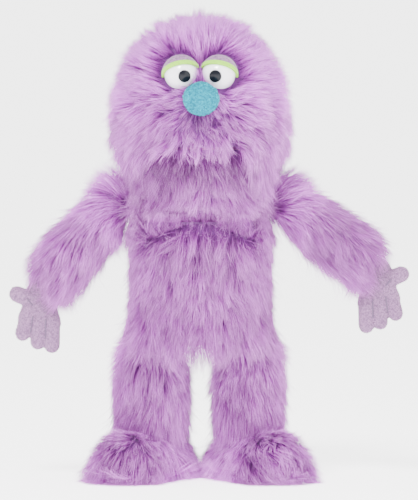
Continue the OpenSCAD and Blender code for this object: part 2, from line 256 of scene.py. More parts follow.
furMat = fibreMaterial("lilacPile", linear(106, 38, 118), linear(170, 76, 178), linear(218, 140, 224), 1.35)
# the ground cloth under the fibres is coloured as dark as the pile's shadow: painted shade where the gaps
# between fibres show
groundShadeMat = clothMaterial("pileGroundShade", linear(102, 42, 112), linear(76, 30, 88), 1400.0)
# each cloth's second, darker colour, here and in the line above, is painted shade in the pits of its nap
liningMat = clothMaterial("liningCloth", linear(150, 118, 160), linear(118, 88, 130), 1800.0, 0.5, 0.25)
fleeceMat = clothMaterial("paleFleece", linear(160, 120, 160), linear(106, 74, 110), 800.0, 0.9, 0.9)
# the dark root here is painted shade deep in the fleece's nap
fleeceHairMat = fibreMaterial("paleFleeceHair", linear(104, 70, 108), linear(160, 118, 162),
                              linear(198, 158, 198), 1.0, 0.8)
noseMat = clothMaterial("aquaFleece", linear(0, 146, 168), linear(0, 78, 100), 700.0, 0.8, 0.8, sheen=0.0)
# the dark root here is painted shade deep in the nose's nap
noseHairMat = fibreMaterial("aquaFleeceHair", linear(0, 90, 108), linear(0, 160, 178),
                            linear(0, 190, 208), 1.4, 0.9)
limeMat = clothMaterial("limeFelt", linear(160, 220, 60), linear(120, 180, 36), 1700.0, 0.5, 0.3)
redMat = clothMaterial("redFelt", linear(168, 52, 74), linear(120, 30, 52), 1500.0, 0.5, 0.4)
pinkMat = clothMaterial("pinkFelt", linear(228, 140, 158), linear(196, 104, 128), 1500.0, 0.5, 0.4)
fillMat = clothMaterial("fibreFilling", linear(238, 238, 234), linear(208, 208, 206), 500.0, 0.6, 0.6)
foamMat = clothMaterial("foamSheet", linear(230, 222, 198), linear(190, 180, 156), 1600.0, 0.5, 0.4)
boardMat = clothMaterial("mouthBoard", linear(120, 100, 82), linear(90, 74, 60), 700.0, 0.4, 0.2)
threadMat = clothMaterial("stitchThread", linear(112, 88, 120), linear(84, 64, 92), 2600.0, 0.5, 0.3)

glossWhite, tree, p = principled("eyeWhite", 0.12, Coat_Weight=0.6)
speck = noiseNode(tree, None, 40.0, 2.0)
tree.links.new(mixColour(tree, speck, linear(250, 248, 252), linear(238, 234, 244)), p.inputs["Base Color"])
glossBlack, tree, p = principled("eyeBlack", 0.12, Specular_IOR_Level=0.2)
speck = noiseNode(tree, None, 60.0, 2.0)
tree.links.new(mixColour(tree, speck, linear(12, 14, 20), linear(20, 22, 30)), p.inputs["Base Color"])
washerMat, tree, p = principled("washerPlastic", 0.45)
speck = noiseNode(tree, None, 80.0, 2.0)
tree.links.new(mixColour(tree, speck, linear(214, 214, 214), linear(196, 196, 200)), p.inputs["Base Color"])
print("materials ready")


def meshObject(name, verts, faces, material, smooth=True):
    me = bpy.data.meshes.new(name)
    me.from_pydata([tuple(v) for v in verts], [], [tuple(f) for f in faces])
    me.update()
    me.materials.append(material)
    if smooth:
        me.polygons.foreach_set("use_smooth", [True] * len(me.polygons))
    ob = bpy.data.objects.new(name, me)
    bpy.context.scene.collection.objects.link(ob)
    return ob


def gridSurface(name, points, material, keep=None, closeU=False, caps=False):
    rows, cols = points.shape[:2]
    verts = points.reshape(-1, 3)
    faces = []
    for i in range(rows - 1):
        for j in range(cols if closeU else cols - 1):
            a, b = i * cols + j, i * cols + (j + 1) % cols
            quad = (a, b, b + cols, a + cols)
            if keep is None or keep(verts[list(quad)].mean(axis=0)):
                faces.append(quad)
    if caps:
        faces.append(tuple(range(cols - 1, -1, -1)))
        faces.append(tuple((rows - 1) * cols + j for j in range(cols)))
    ob = meshObject(name, verts, faces, material)
    bm = bmesh.new()
    bm.from_mesh(ob.data)
    bmesh.ops.delete(bm, geom=[v for v in bm.verts if not v.link_faces], context="VERTS")
    bmesh.ops.remove_doubles(bm, verts=bm.verts, dist=1e-6)
    bm.to_mesh(ob.data)
    bm.free()
    return ob


def thicken(ob, thickness):
    m = ob.modifiers.new("thickness", "SOLIDIFY")
    m.thickness = thickness
    m.offset = -1.0
    return ob


def surfaceSamples(ob, count, rng):
    me = ob.data
    me.calc_loop_triangles()
    tri = np.empty(len(me.loop_triangles) * 3, np.int32)
    me.loop_triangles.foreach_get("vertices", tri)
    tri = tri.reshape(-1, 3)
    co = np.empty(len(me.vertices) * 3)
    me.vertices.foreach_get("co", co)
    co = co.reshape(-1, 3)
    no = np.empty(len(me.vertices) * 3)
    me.vertices.foreach_get("normal", no)
    no = no.reshape(-1, 3)
    a, b, c = co[tri[:, 0]], co[tri[:, 1]], co[tri[:, 2]]
    area = np.linalg.norm(np.cross(b - a, c - a), axis=1) / 2
    pick = rng.choice(len(tri), count, p=area / area.sum())
    u, v = rng.random(count), rng.random(count)
    flip = u + v > 1
    u[flip], v[flip] = 1 - u[flip], 1 - v[flip]
    w = np.stack([1 - u - v, u, v], axis=1)[:, :, None]
    return (co[tri[pick]] * w).sum(axis=1), unit((no[tri[pick]] * w).sum(axis=1)), area.sum()


# slow waves over space, for swirls in the pile and broad changes of tone
waveDirs = rng.normal(size=(10, 3))
wavePhase = rng.random((10, 3)) * 6.28


def waves(points, size):
    out = np.zeros_like(points)
    for k in range(10):
        f = points @ unit(waveDirs[k]) * (2 * math.pi / size) * (0.6 + 0.12 * k)
        out += np.sin(f[:, None] + wavePhase[k])
    return out / 4.0


def nearestCentre(points, centres):
    tree = kdtree.KDTree(len(centres))
    for i, c in enumerate(centres):
        tree.insert(c, i)
    tree.balance()
    return np.array([tree.find(p)[1] for p in points])


# each fibre's nearest lock: its leading fibre, its lean and its tone
def lockLean(roots, perArea, spacing, amount, rng):
    n = len(roots)
    perLock = perArea * (spacing / mm) ** 2
    count = max(1, min(n // 3, int(n / perLock)))
    chosen = rng.choice(n, count, replace=False)
    owner = nearestCentre(roots, roots[chosen])
    lean = rng.normal(size=(count, 3))[owner] * amount
    return chosen[owner], lean, rng.random(count)[owner]


# perArea is fibres to the square millimetre; lift and lean are beside the comb direction's length of 1
def growFibres(name, roots, normals, comb, length, material, perArea, rng, width=0.25 * mm, lift=(0.9, 0.25),
               locks=(8 * mm, 2 * mm), lean=(0.17, 0.13), gather=(0.12, 0.36), wave=0.16,
               jitter=0.13, floor=None, steps=3, shade=None, rise=None):
    n = len(roots)
    comb = unit(comb - normals * (comb * normals).sum(axis=1, keepdims=True))
    comb = unit(comb + waves(roots, 45 * mm) * wave + waves(roots, 16 * mm) * wave * 0.5)
    bigLead, bigLean, bigTone = lockLean(roots, perArea, locks[0], lean[0], rng)
    smallLead, smallLean, smallTone = lockLean(roots, perArea, locks[1], lean[1], rng)
    comb = comb + bigLean + smallLean
    comb = unit(comb - normals * (comb * normals).sum(axis=1, keepdims=True) * 0.85)
    length = length * (0.74 + 0.36 * rng.random(n)) * (0.86 + 0.28 * bigTone)
    stray = rng.random(n) < 0.07
    spread = rng.normal(size=(n, 3)) * np.where(stray, jitter * 2.6, jitter)[:, None]
    stand = np.ones(n) if rise is None else rise(roots)
    path = [roots - normals * 0.8 * mm]
    for k in range(steps):
        t = (k + 0.5) / steps
        up = (lift[0] * (1 - t) + lift[1] * t) * stand
        d = unit(comb + normals * up[:, None] + spread * (0.4 + t))
        path.append(path[-1] + d * (length / steps)[:, None])
    path = np.stack(path)
    for lead, amount in ((bigLead, gather[0]), (smallLead, gather[1])):
        goal = path[:, lead].copy()
        for k in range(1, steps + 1):
            pull = np.where(stray, amount * 0.3, amount) * (k / steps) ** 1.3
            path[k] += (goal[k] - path[k]) * pull[:, None]
    if floor is not None:
        low = floor + 0.4 * mm
        z = path[:, :, 2]
        path[:, :, 2] = np.where(z < low, low + (low - z) * 0.06, z)
    # the back is the box's own edge, so the fibres there lie flatter
    back = cadHigh[1] + 9 * mm
    y = path[:, :, 1]
    path[:, :, 1] = np.where(y > back, back + (y - back) * 0.15, y)
    tone = 0.52 + waves(roots, 60 * mm)[:, 0] * 0.09 + rng.normal(size=n) * 0.17
    tone += (bigTone - 0.5) * 0.26 + (smallTone - 0.5) * 0.46
    # shade darkens the tone where positive and lightens it where negative: painted shade under the muzzle,
    # painted light on the upper head, shoulders and ankles, and a plain change of tone on the body and legs
    if shade is not None:
        tone -= shade(roots)
    tone = clamp01(tone)
    thick = width * (0.75 + 0.5 * rng.random(n))
    triangles = 6 * (steps - 1) + 4
    parts = max(1, math.ceil(n * triangles / 190000))
    order = np.argsort(np.arctan2(roots[:, 0] - roots[:, 0].mean(), roots[:, 1] - roots[:, 1].mean()))
    pieces = []
    for i, chunk in enumerate(np.array_split(order, parts)):
        label = name if parts == 1 else name + "_" + str(i + 1)
        shape = (path[:, chunk], normals[chunk], thick[chunk], tone[chunk])
        pieces.append(fibreMesh(label, *shape, material, steps))
    print(name, n, "fibres in", parts)
    return pieces


# three sides and a point for each fibre
def fibreMesh(name, path, normals, thick, tone, material, steps):
    n = path.shape[1]
    side = unit(np.cross(path[1] - path[0], normals + np.array([0.013, 0.021, 0.017])))
    rings = []
    for k in range(steps):
        d = unit(path[k + 1] - path[k])
        s = unit(side - d * (side * d).sum(axis=1, keepdims=True))
        u = np.cross(d, s)
        taper = 1.0 - 0.62 * (k / steps) ** 1.5
        r = (thick * taper / 2)[:, None]
        for a in (0.0, 2 * math.pi / 3, 4 * math.pi / 3):
            rings.append(path[k] + (s * math.cos(a) + u * math.sin(a)) * r)
    rings.append(path[steps])
    per = 3 * steps + 1
    verts = np.stack(rings, axis=1).reshape(-1, 3)
    local = [(0, 2, 1)]
    for k in range(steps - 1):
        for j in range(3):
            a, b = 3 * k + j, 3 * k + (j + 1) % 3
            local += [(a, b, b + 3), (a, b + 3, a + 3)]
    for j in range(3):
        local.append((3 * (steps - 1) + j, 3 * (steps - 1) + (j + 1) % 3, 3 * steps))
    local = np.array(local)
    tris = (local[None] + (np.arange(n) * per)[:, None, None]).reshape(-1, 3)
    alongOf = np.repeat(np.arange(steps + 1) / steps, [3] * steps + [1])
    cornerV = np.tile(alongOf[local.reshape(-1)], n)
    sideOf = np.array([0, 1, 0.5] * steps + [0.5])
    cornerU = np.repeat(0.02 + tone * 0.93, len(local) * 3) + np.tile(sideOf[local.reshape(-1)], n) * 0.03
    me = bpy.data.meshes.new(name)
    me.vertices.add(len(verts))
    me.vertices.foreach_set("co", verts.astype(np.float32).ravel())
    me.loops.add(len(tris) * 3)
    me.loops.foreach_set("vertex_index", tris.astype(np.int32).ravel())
    me.polygons.add(len(tris))
    me.polygons.foreach_set("loop_start", np.arange(0, len(tris) * 3, 3, dtype=np.int32))
    me.polygons.foreach_set("use_smooth", np.ones(len(tris), bool))
    me.update(calc_edges=True)
    uv = me.uv_layers.new(name="OFBake")
    flat = np.stack([cornerU, 0.02 + cornerV * 0.96], axis=1).astype(np.float32)
    uv.data.foreach_set("uv", flat.ravel())
    me.materials.append(material)
    ob = bpy.data.objects.new(name, me)
    bpy.context.scene.collection.objects.link(ob)
    return ob


# fibres over a skin, density to the square centimetre; comb None brushes each its own way, plus drop
def fur(name, skin, density, comb, length, body, material=None, keep=None, slot="pile_fabric",
        drop=0.0, **look):
    rng = np.random.default_rng(sum(map(ord, name)))
    area = surfaceSamples(skin, 10, rng)[2]
    p, nrm, area = surfaceSamples(skin, int(area / squareCm * density), rng)
    if keep is not None:
        k = keep(p, nrm)
        p, nrm = p[k], nrm[k]
    if comb is None:
        way = rng.normal(size=p.shape) - np.array([0, 0, drop])
    else:
        way = comb(p, nrm)
    long = length(p, nrm) if callable(length) else np.full(len(p), length)
    pieces = growFibres(name, p, nrm, way, long, material or furMat, density / 100, rng, **look)
    for ob in pieces:
        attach(ob, body)
    return pieces


# the ground cloth a fur piece grows from, which takes a CAD node's place
def ground(ob, body, nodes, thickness=None):
    if thickness:
        thicken(ob, thickness)
    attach(ob, body)
    if nodes:
        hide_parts(*nodes)


def steady(p, x, y, z):
    return np.tile(np.array([x, y, z], float), (len(p), 1))


# measures from the frame
faceLow, faceHigh = boxOf("face_panel")
backLow, backHigh = boxOf("head_back_panel")
jawLow, jawHigh = boxOf("jaw_panel")
bodyLow, bodyHigh = boxOf("torso_front_panel")
bodyBackLow, bodyBackHigh = boxOf("torso_back_panel")
noseLow, noseHigh = boxOf("nose_cover")
headX = (faceLow[0] + faceHigh[0]) / 2
headY = faceHigh[1]
headR = (faceHigh[0] - faceLow[0]) / 2
headTop = faceHigh[2]
headWideZ = headTop - 80 * mm
headLowZ = faceLow[2]
hinge = jointPos("jaw_open")
noseC = (noseLow + noseHigh) / 2
eyeC = {}
for s in ("left", "right"):
    low, high = boxOf("eye_" + s)
    r = (high[0] - low[0]) / 2
    eyeC[s] = np.array([(low[0] + high[0]) / 2, low[1] + r, (low[2] + high[2]) / 2])
eyeR = r
bodyX = (bodyLow[0] + bodyHigh[0]) / 2
bodyY = bodyHigh[1]
bodyR = bodyY - bodyLow[1]
bodyLowZ, bodyTopZ = bodyLow[2], bodyBackHigh[2]
halfJaw = (jawHigh[0] - jawLow[0]) / 2
skinIn = 3.5 * mm


def headAt(z):
    up = np.sqrt(np.maximum(0, 1 - ((z - headWideZ) / (headTop - headWideZ)) ** 2)) * headR
    down = headR - 10 * mm * ((headWideZ - z) / (53 * mm)) ** 2
    return np.where(z > headWideZ, up, down)


def headSkin():
    rows = []
    crown = headTop - 10 * mm - headWideZ
    zs = np.concatenate([np.linspace(headLowZ, headWideZ, 22),
                         headWideZ + crown * np.sin(np.radians(np.linspace(3, 89.5, 30)))])
    angles = np.linspace(0, 2 * math.pi, 96, endpoint=False)
    for z in zs:
        r = headAt(z) - skinIn - 2.5 * mm * smoothstep(headWideZ - 4 * mm, headLowZ, z)
        if z > headWideZ:
            r = (headR - skinIn) * max(1 - ((z - headWideZ) / crown) ** 2.15, 0) ** 0.465
        r = max(r, 0.3 * mm)
        x = np.sin(angles) * r
        y = -np.cos(angles) * r
        front = clamp01(-y / headR) ** 2
        muzzle = np.exp(-((z - noseC[2] + 34 * mm) / (15 * mm)) ** 2 - (x / (34 * mm)) ** 2) * front
        y = y - muzzle * 9 * mm
        rows.append(np.stack([headX + x, headY + y, np.full_like(x, z)], axis=1))

    def outsideMouth(c):
        inside = abs(c[0] - headX) < halfJaw + 1.2 * mm and c[1] < hinge[1] and c[2] < hinge[2] + 1 * mm
        return not inside

    return gridSurface("headSkin", np.array(rows), groundShadeMat, outsideMouth, closeU=True)


headGround = headSkin()


def outsideFace(p, nrm):
    keepIt = np.ones(len(p), bool)
    for c in eyeC.values():
        d = np.hypot(p[:, 0] - c[0], p[:, 2] - c[2])
        keepIt &= ~((d < eyeR + 1.2 * mm) & (p[:, 1] < headY - 20 * mm))
    d = np.hypot(p[:, 0] - noseC[0], p[:, 2] - noseC[2])
    keepIt &= ~((d < 7 * mm) & (p[:, 1] < headY - 20 * mm))
    return keepIt


def headComb(p, nrm):
    centre = noseC + np.array([0, 14 * mm, 4 * mm])
    out = unit(p - centre)
    back = smoothstep(-10 * mm, 55 * mm, p[:, 1] - headY)
    below = smoothstep(noseC[2] + 10 * mm, noseC[2] - 30 * mm, p[:, 2])
    sides = smoothstep(headWideZ + 8 * mm, headLowZ + 8 * mm, p[:, 2])
    weight = 0.1 + 0.45 * below + 1.3 * back + 0.9 * sides
    inward = steady(p, 0, -0.35, 0)
    inward[:, 0] = -(p[:, 0] - headX) / headR
    crown = smoothstep(headTop - 60 * mm, headTop - 20 * mm, p[:, 2])
    crown = crown * smoothstep(-12 * mm, 10 * mm, p[:, 1] - headY)
    out = out + np.array([0, 0.9, 0]) * crown[:, None]
    return out + np.array([0, 0, -1.0]) * weight[:, None] + inward * (sides * 0.3)[:, None]


def headLength(p, nrm):
    d = np.linalg.norm(p - noseC, axis=1)
    near = smoothstep(13 * mm, 44 * mm, d)
    top = smoothstep(headTop - 50 * mm, headTop - 14 * mm, p[:, 2])
    low = smoothstep(headWideZ + 4 * mm, headLowZ + 10 * mm, p[:, 2])
    overMouth = smoothstep(halfJaw + 4 * mm, halfJaw - 10 * mm, np.abs(p[:, 0] - headX))
    overMouth = overMouth * (p[:, 1] < headY)
    lip = overMouth * smoothstep(hinge[2] + 26 * mm, hinge[2] + 2 * mm, p[:, 2])
    return (12 + 11 * near - 2 * top + 7 * low * (1 - lip) - 4 * lip) * mm


def headRise(p):
    low = smoothstep(headWideZ - 4 * mm, headWideZ - 22 * mm, p[:, 2])
    low = low * (np.abs(p[:, 0] - headX) > halfJaw - 8 * mm)
    crown = smoothstep(headTop - 44 * mm, headTop - 16 * mm, p[:, 2])
    belowNose = np.hypot(p[:, 0] - noseC[0], p[:, 2] - noseC[2] + 18 * mm)
    muzzle = smoothstep(34 * mm, 14 * mm, belowNose) * (p[:, 1] < headY)
    return 1 - 0.5 * low + 0.5 * crown - 0.5 * muzzle


# painted light: the head's fur is lightened all over and most above the nose, as if lit from above
def headPaintedLight(p):
    return -0.08 - 0.34 * smoothstep(noseC[2] - 20 * mm, noseC[2] + 10 * mm, p[:, 2])


density = 150
fur("headFur", headGround, density, headComb, headLength, "head", keep=outsideFace, lift=(0.85, 0.34),
    lean=(0.34, 0.18), gather=(0.22, 0.38), wave=0.2, rise=headRise, shade=headPaintedLight)
ground(headGround, "head", ["face_panel", "head_back_panel"], 3 * mm)
print("head ready")


def jawSkin():
    half = halfJaw - 0.6 * mm
    xs = np.linspace(-half, half, 30)
    chin = headAt(jawLow[2]) - skinIn - 4.0 * mm
    rows = []
    # the flap under the chin lies on an arc round the hinge, clear of the chest
    for a in np.radians(np.linspace(49, 34, 6)):
        reach = 72 * mm
        z = hinge[2] - reach * math.sin(a)
        y = hinge[1] - reach * math.cos(a)
        r = headY - y
        ys = -np.sqrt(np.maximum(r * r - xs * xs * 0.8, 0))
        rows.append(np.stack([headX + xs * 0.97, headY + ys, np.full_like(xs, z)], axis=1))
    for z in np.linspace(jawLow[2] + 3 * mm, jawHigh[2], 13):
        t = clamp01((jawHigh[2] - z) / (jawHigh[2] - jawLow[2]))
        r = headAt(z) - skinIn - 1.8 * mm * (1 - t) - (headAt(jawLow[2]) - skinIn - chin) * t ** 2
        ys = -np.sqrt(np.maximum(r * r - xs * xs, 0))
        rows.append(np.stack([headX + xs, headY + ys, np.full_like(xs, z)], axis=1))
    return gridSurface("jawSkin", np.array(rows), groundShadeMat)


jawGround = jawSkin()


def jawComb(p, nrm):
    way = steady(p, 0, -0.1, -1)
    x = (p[:, 0] - headX) / halfJaw
    way[:, 0] = x * (0.35 + 1.1 * np.abs(x) ** 3)
    return way


def jawLength(p, nrm):
    side = smoothstep(4 * mm, 32 * mm, np.abs(p[:, 0] - headX))
    flap = smoothstep(jawLow[2] + 4 * mm, jawLow[2] - 6 * mm, p[:, 2])
    return (19 + 5 * side * smoothstep(jawHigh[2], jawLow[2], p[:, 2]) - (9 - 6 * side) * flap) * mm


# painted shade on the jaw's fur under the muzzle's overhang, darkest at the mouth line
def mouthShade(p):
    return 0.44 * smoothstep(jawHigh[2] - 24 * mm, jawHigh[2] - 6 * mm, p[:, 2])


fur("jawFur", jawGround, density * 1.15, jawComb, jawLength, "jaw", lift=(0.5, 0.2), wave=0.12,
    shade=mouthShade)
ground(jawGround, "jaw", ["jaw_panel"], 2.5 * mm)


neckLow, neckHigh = boxOf("neck_cover")
turnAt = jointPos("head_turn")
neckR = (neckHigh[0] - neckLow[0]) / 2


def neckSkin():
    rows = []
    angles = np.radians(np.linspace(-118, 118, 60)) + math.pi
    for z in np.linspace(neckLow[2], neckHigh[2], 8):
        r = math.sqrt(neckR ** 2 - (z - turnAt[2]) ** 2) - 0.5 * mm
        ring = (turnAt[0] + np.sin(angles) * r, turnAt[1] - np.cos(angles) * r, np.full(60, z))
        rows.append(np.stack(ring, axis=1))
    return gridSurface("neckSkin", np.array(rows), groundShadeMat)


neckGround = neckSkin()
fur("neckFur", neckGround, density, lambda p, nrm: steady(p, 0, 0, -1), 27 * mm, "neck", lift=(0.8, 0.35))
ground(neckGround, "neck", ["neck_cover"], 2 * mm)


def bodyAt(z):
    zz = z / mm
    r = 51 + 2 * ((155 - zz) / 40) ** 2 - np.maximum(zz - 190, 0) * 0.25
    return r * mm - skinIn


def bodySkin():
    zs = np.linspace(bodyLowZ - 4 * mm, bodyTopZ + 4 * mm, 56)
    angles = np.linspace(0, 2 * math.pi, 144, endpoint=False)
    rows = []
    for z in zs:
        r = bodyAt(z)
        rows.append(np.stack([bodyX + np.sin(angles) * r, bodyY - np.cos(angles) * r,
                              np.full(144, z)], axis=1))
    top = rows[-1]
    centre = np.array([bodyX, bodyY, 0])
    for f, up in ((0.93, 1.5), (0.84, 2.5)):
        ring = centre + (top - centre) * np.array([f, f, 1]) + np.array([0, 0, up * mm])
        rows.append(ring)
    slotLow, slotHigh = boxOf("hand_opening_hem")
    slotHalf = (slotHigh[0] - slotLow[0]) / 2 - 1.4 * mm
    slotTop = slotHigh[2] - 1.4 * mm

    def keep(c):
        if c[1] > bodyY + 10 * mm and abs(c[0] - bodyX) < slotHalf and c[2] > slotLow[2]:
            arch = slotTop - slotHalf + math.sqrt(max(slotHalf ** 2 - (c[0] - bodyX) ** 2, 0))
            if c[2] < arch:
                return False
        # the neckline, where the chin swings
        if abs(c[0] - bodyX) < halfJaw + 5 * mm and c[1] < bodyY:
            if math.hypot(c[1] - hinge[1], c[2] - hinge[2]) < 76 * mm:
                return False
        for s in ("left", "right"):
            if np.linalg.norm(c - jointPos("shoulder_raise_" + s)) < 15.5 * mm:
                return False
        return True

    return gridSurface("bodySkin", np.array(rows), groundShadeMat, keep, closeU=True)


bodyGround = bodySkin()


# 1 at the cut edge of the neckline, 0 from 8 mm away
def necklineEdge(p):
    front = (p[:, 1] < bodyY) * (np.abs(p[:, 0] - bodyX) < halfJaw + 8 * mm)
    away = np.hypot(p[:, 1] - hinge[1], p[:, 2] - hinge[2]) - 76 * mm
    return front * smoothstep(8 * mm, 2 * mm, away)


# at the neckline's edge every other fibre is brushed up over the gap
def bodyComb(p, nrm):
    x = (p[:, 0] - bodyX) / bodyR
    up = necklineEdge(p) * (np.sin(p[:, 0] * 9000) > 0)
    return np.stack([x * 0.18, nrm[:, 1] * 0.1, -1.0 + 1.4 * up], axis=1)


def bodyLength(p, nrm):
    low = smoothstep(bodyLowZ + 22 * mm, bodyLowZ, p[:, 2])
    middle = smoothstep(18 * mm, 6 * mm, np.abs(p[:, 0] - bodyX))
    return (23 + low * (9 + 10 * middle)) * mm


fur("bodyFur", bodyGround, density, bodyComb, bodyLength, "torso", lift=(0.5, 0.2), wave=0.15,
    lean=(0.2, 0.17), gather=(0.16, 0.42), rise=lambda p: 1 + 0.6 * necklineEdge(p),
    shade=lambda p: np.full(len(p), 0.05))
ground(bodyGround, "torso", ["torso_front_panel", "torso_back_panel", "shoulder_panel"], 2.5 * mm)


# cloth behind the chin's swing, from the neckline down into the body, in the ground cloth's painted shade
# colour
def throatSkin():
    rows = []
    xs = np.linspace(-halfJaw - 4.5 * mm, halfJaw + 4.5 * mm, 16)
    reach = 76.2 * mm
    for y in np.linspace(hinge[1] - 52 * mm, hinge[1] - 30 * mm, 9):
        z = hinge[2] - math.sqrt(reach ** 2 - (y - hinge[1]) ** 2)
        rows.append(np.stack([headX + xs, np.full(16, y), np.full(16, z)], axis=1))
    return gridSurface("throatSkin", np.array(rows), groundShadeMat)


throatGround = throatSkin()
fur("throatFur", throatGround, density, lambda p, nrm: steady(p, 0, -0.8, -0.6), 15 * mm, "torso",
    lift=(0.1, 0.0), keep=lambda p, nrm: np.abs(p[:, 0] - headX) > 14 * mm)
ground(throatGround, "torso", [])


def seatSkin():
    rows = []
    angles = np.linspace(0, 2 * math.pi, 72, endpoint=False)
    outer = bodyAt(bodyLowZ) - 1 * mm
    for f in (1.0, 0.8, 0.6, 0.4, 0.2, 0.02):
        x = -np.sin(angles) * outer * f
        # the cloth dips a little between the legs
        dip = 8 * mm * np.exp(-(x / (6 * mm)) ** 2) * (1 - f ** 4)
        sag = (1 - f ** 2) * 1.5 * mm + dip
        y = -np.cos(angles) * outer * f
        rows.append(np.stack([bodyX + x, bodyY + y, bodyLowZ + 1 * mm - sag], axis=1))
    return gridSurface("seatSkin", np.array(rows), groundShadeMat, closeU=True)


seatGround = seatSkin()
fur("seatFur", seatGround, density * 0.8, lambda p, nrm: (p - [bodyX, bodyY, 0]) * [0.3, 1, 0], 18 * mm,
    "torso", lift=(1.2, 1.1))
ground(seatGround, "torso", ["seat_panel"], 2 * mm)
print("body ready")


def faceOutward(ob):
    bm = bmesh.new()
    bm.from_mesh(ob.data)
    bmesh.ops.recalc_face_normals(bm, faces=bm.faces)
    bm.to_mesh(ob.data)
    bm.free()


# a limb's cloth, turned round the line along, from pairs of distance and radius
def turned(name, start, along, up, profile, cols=40):
    along = unit(np.array(along))
    a = unit(np.cross(along, up))
    b = np.cross(along, a)
    angles = np.linspace(0, 2 * math.pi, cols, endpoint=False)
    rows = []
    for s, r in profile:
        circle = np.cos(angles)[:, None] * a + np.sin(angles)[:, None] * b
        rows.append(start + along * s + circle * max(r, 0.2 * mm))
    ob = gridSurface(name, np.array(rows), groundShadeMat, closeU=True, caps=True)
    faceOutward(ob)
    return ob


for side in ("left", "right"):
    shoulder, wrist = jointPos("shoulder_raise_" + side), jointPos("wrist_swing_" + side)
    along = unit(wrist - shoulder)
    reach = np.linalg.norm(wrist - shoulder)
    bend = 16 - skinIn / mm
    profile = [(-bend * math.cos(t) * mm, bend * math.sin(t) * mm) for t in np.radians(range(0, 91, 15))]
    for s, r in ((8, 17), (24, 18.5), (46, 20), (64, 20), (72, 18.5), (76, 16), (78, 13.4)):
        profile.append((s * mm, (r - skinIn / mm) * mm))
    arm = turned("armSkin_" + side, shoulder, along, (0, 1, 0), profile)

    def armComb(p, nrm):
        s = ((p - shoulder) @ along) / reach
        cap = smoothstep(0.16, 0.0, s)
        rising = cap - (1 - cap) * (0.5 + 0.5 * clamp01(s))
        return along + np.array([0, 0, 1.0]) * rising[:, None]

    def armLength(p, nrm):
        below = clamp01(-nrm[:, 2] * 1.2)
        return (24 + 8 * below) * mm

    def armRise(p):
        return 1 - 0.3 * smoothstep(24 * mm, 4 * mm, (p - shoulder) @ along)

    # painted light: the fibres are lightened towards the shoulder cap
    fur("armFur_" + side, arm, density, armComb, armLength, "arm_" + side, lift=(0.6, 0.2), wave=0.2,
        rise=armRise, shade=lambda p: -0.3 * smoothstep(30 * mm, 8 * mm, (p - shoulder) @ along))
    ground(arm, "arm_" + side, ["arm_cover_" + side])

    hip, ankle = jointPos("hip_swing_" + side), jointPos("ankle_bend_" + side)
    hipZ, ankleZ = hip[2], ankle[2]
    leg = []
    thin = 3.2 if side == "left" else 2.2
    for up, r in ((20, 3.5), (19.5, 12), (17, 18.5), (10, 22.5), (0, 24.5), (-12, 25.5)):
        leg.append((-up * mm, (r - thin) * mm))
    for up, r in ((20, 25.5), (9, 25.5), (0, 22), (-6, 18), (-11, 12), (-13, 6)):
        leg.append((hipZ - ankleZ - up * mm, (r - thin) * mm))
    legOb = turned("legSkin_" + side, hip, (0, 0, -1), (0, 1, 0), leg)
    out = 1 if side == "left" else -1

    def legComb(p, nrm):
        low = smoothstep(ankleZ + 25 * mm, ankleZ, p[:, 2])
        return steady(p, out * 0.06, 0, -1) + nrm * [0.4, 0.4, 0] * low[:, None]

    def legLength(p, nrm):
        top = smoothstep(hipZ + 2 * mm, hipZ + 16 * mm, p[:, 2])
        low = smoothstep(ankleZ + 30 * mm, ankleZ + 8 * mm, p[:, 2])
        return (23 - 4 * top + 8 * low) * mm

    fur("legFur_" + side, legOb, density, legComb, legLength, "leg_" + side,
        keep=lambda p, nrm: p[:, 2] > ankleZ - 4 * mm, lift=(0.45, 0.2), wave=0.1, lean=(0.12, 0.1),
        shade=lambda p: np.full(len(p), -0.08))
    ground(legOb, "leg_" + side, ["leg_cover_" + side])

    toeOut = math.radians(32) * out
    forward = np.array([math.sin(toeOut), -math.cos(toeOut), 0])
    ankleFloor = np.array([ankle[0], ankle[1], 0])
    rows = []
    angles = np.linspace(0, 2 * math.pi, 56, endpoint=False)
    radius, middle = 27 * mm - skinIn, 12 * mm
    for e in np.radians([-26, -12, 0, 14, 28, 42, 56, 70, 84]):
        ring = []
        for a in angles:
            c, s = math.cos(a), math.sin(a)
            centre = ankleFloor + forward * (30 * mm if c > 0 else -8 * mm)
            flat = (forward * c + np.cross(forward, (0, 0, 1)) * s) * radius * math.cos(e)
            ring.append(centre + flat + np.array([0, 0, middle + radius * math.sin(e)]))
        rows.append(ring)
    foot = gridSurface("footSkin_" + side, np.array(rows), groundShadeMat, closeU=True, caps=True)
    faceOutward(foot)

    def nearAnkle(p):
        return smoothstep(40 * mm, 18 * mm, np.hypot(p[:, 0] - ankle[0], p[:, 1] - ankle[1]))

    def footComb(p, nrm):
        outward = p - (ankleFloor + forward * 4 * mm)
        outward[:, 2] = 0
        return unit(outward) + np.array([0, 0, -0.45])

    def footLength(p, nrm):
        return (18 + 11 * smoothstep(30 * mm, 10 * mm, p[:, 2])) * mm

    # painted light: the fibres are lightened near the ankle, where their dark roots would show
    fur("footFur_" + side, foot, density * 1.1, footComb, footLength, "foot_" + side,
        keep=lambda p, nrm: nrm[:, 2] > -0.75, lift=(0.75, 0.2), wave=0.2, floor=0.0,
        shade=lambda p: -0.45 * nearAnkle(p), rise=lambda p: 1 - 0.45 * nearAnkle(p))
    ground(foot, "foot_" + side, ["foot_cover_" + side])
print("limbs ready")


